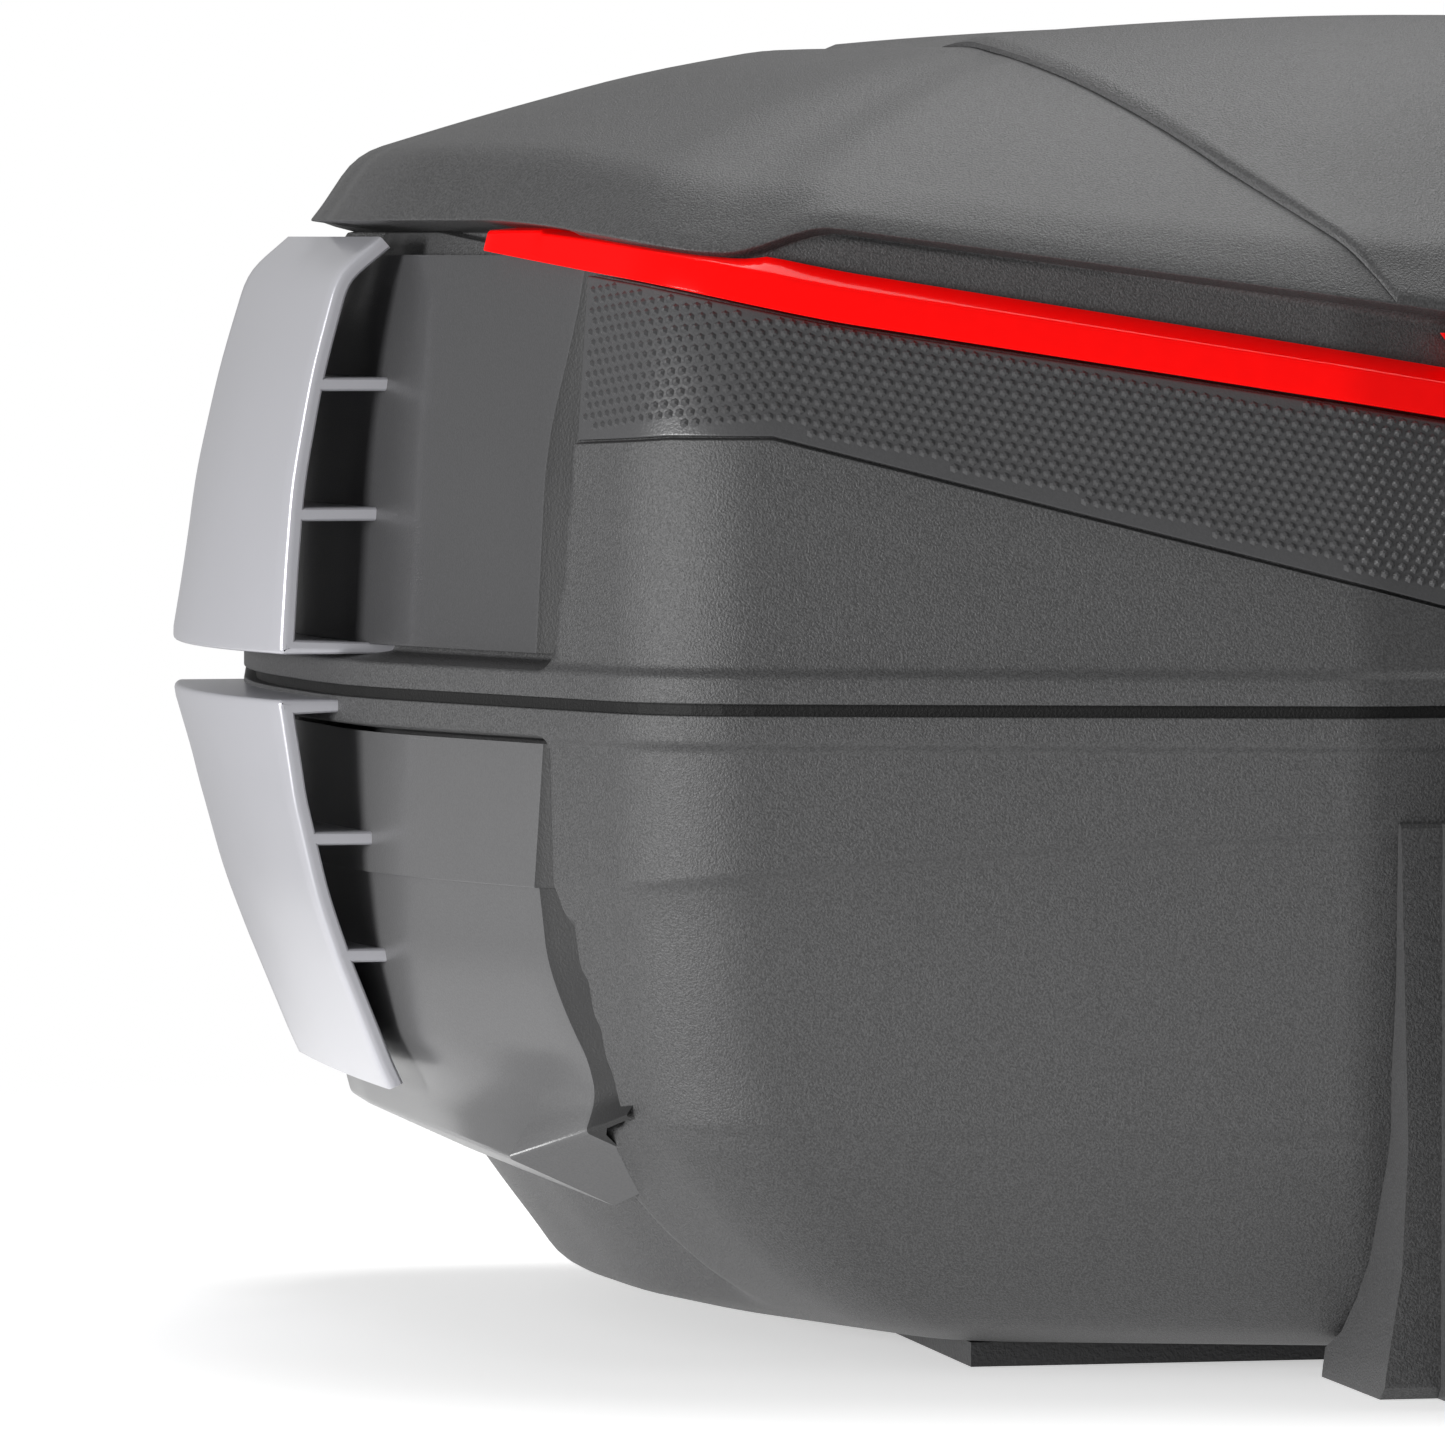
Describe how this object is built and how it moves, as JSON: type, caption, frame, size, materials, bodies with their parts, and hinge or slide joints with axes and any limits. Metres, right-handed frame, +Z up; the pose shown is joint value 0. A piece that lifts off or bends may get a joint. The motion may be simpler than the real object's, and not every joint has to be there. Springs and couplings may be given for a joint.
{
  "type": "top case",
  "caption": "Hard-shell motorcycle top case: a lid hinged at the front over a deep base, side air-duct wings, a wrap-round red reflector and a keyed rear latch.",
  "frame": {"origin": "centre of the bounding box in plan, on the floor the mounting plate rests on", "axes": "+Z up, -Y to the rear with the latch and reflectors, +Y to the front with the hinges, X across the case"},
  "size_m": [0.587, 0.444, 0.3295],
  "materials": {
    "case_plastic": "fine grained anthracite",
    "band_plastic": "moulded dot texture, anthracite",
    "duct_plastic": "smooth satin anthracite",
    "wing_paint": "satin silver",
    "red_lens": "glossy translucent red",
    "red_plastic": "glossy red",
    "black_plastic": "black",
    "seal_rubber": "black rubber",
    "steel": "zinc plated"
  },
  "bodies": {
    "base": {"base_shell": "case_plastic", "duct_panel_lower_left": "duct_plastic", "duct_panel_lower_right": "duct_plastic", "wing_lower_left": "wing_paint", "wing_lower_right": "wing_paint", "lid_seal": "seal_rubber", "floor_mat": "seal_rubber", "base_hinge_leaves": "black_plastic", "hinge_pin_left": "steel", "hinge_pin_right": "steel", "base_screws": "steel", "latch_housing": "case_plastic", "flap_pin": "steel", "flap_spring": "steel", "hook_pin": "steel", "button_spring": "steel", "mounting_plate": "black_plastic", "plate_screws": "steel"},
    "lid": {"lid_shell": "case_plastic", "lid_center_cover": "case_plastic", "reflector_left": "red_lens", "reflector_right": "red_lens", "center_lens": "red_lens", "textured_band_left": "band_plastic", "textured_band_right": "band_plastic", "duct_panel_upper_left": "duct_plastic", "duct_panel_upper_right": "duct_plastic", "wing_upper_left": "wing_paint", "wing_upper_right": "wing_paint", "lid_striker": "steel", "lid_hinge_leaves": "black_plastic", "lid_screws": "steel"},
    "flap": {"latch_flap": "case_plastic"},
    "hook": {"latch_hook": "steel"},
    "key": {"key_cylinder": "steel"},
    "button": {"release_button": "red_plastic", "carrier_bolt": "steel"}
  },
  "joints": [
    {"name": "lid_hinge", "type": "hinge", "parent": "base", "child": "lid", "pos_m": [0, 0.2175, 0.163], "axis": [-1, 0, 0], "range_deg": [0, 75]},
    {"name": "flap_hinge", "type": "hinge", "parent": "base", "child": "flap", "pos_m": [0, -0.2175, 0.066], "axis": [1, 0, 0], "range_deg": [0, 40], "stiffness_Nm_per_rad": 0.3, "springref_deg": -20.05},
    {"name": "hook_pivot", "type": "hinge", "parent": "base", "child": "hook", "pos_m": [0, -0.208, 0.118], "axis": [1, 0, 0], "range_deg": [0, 20]},
    {"name": "key_turn", "type": "hinge", "parent": "flap", "child": "key", "pos_m": [0, -0.219, 0.096], "axis": [0, -1, 0], "range_deg": [-90, 0]},
    {"name": "release_press", "type": "slide", "parent": "base", "child": "button", "axis": [0, 1, 0], "range_m": [0, 0.005], "stiffness_N_per_m": 800, "springref_m": -0.002, "deforming": ["button_spring"]}
  ],
  "couplings": [
    {"joint": "hook_pivot", "follows": "flap_hinge", "ratio": 0.5}
  ]
}
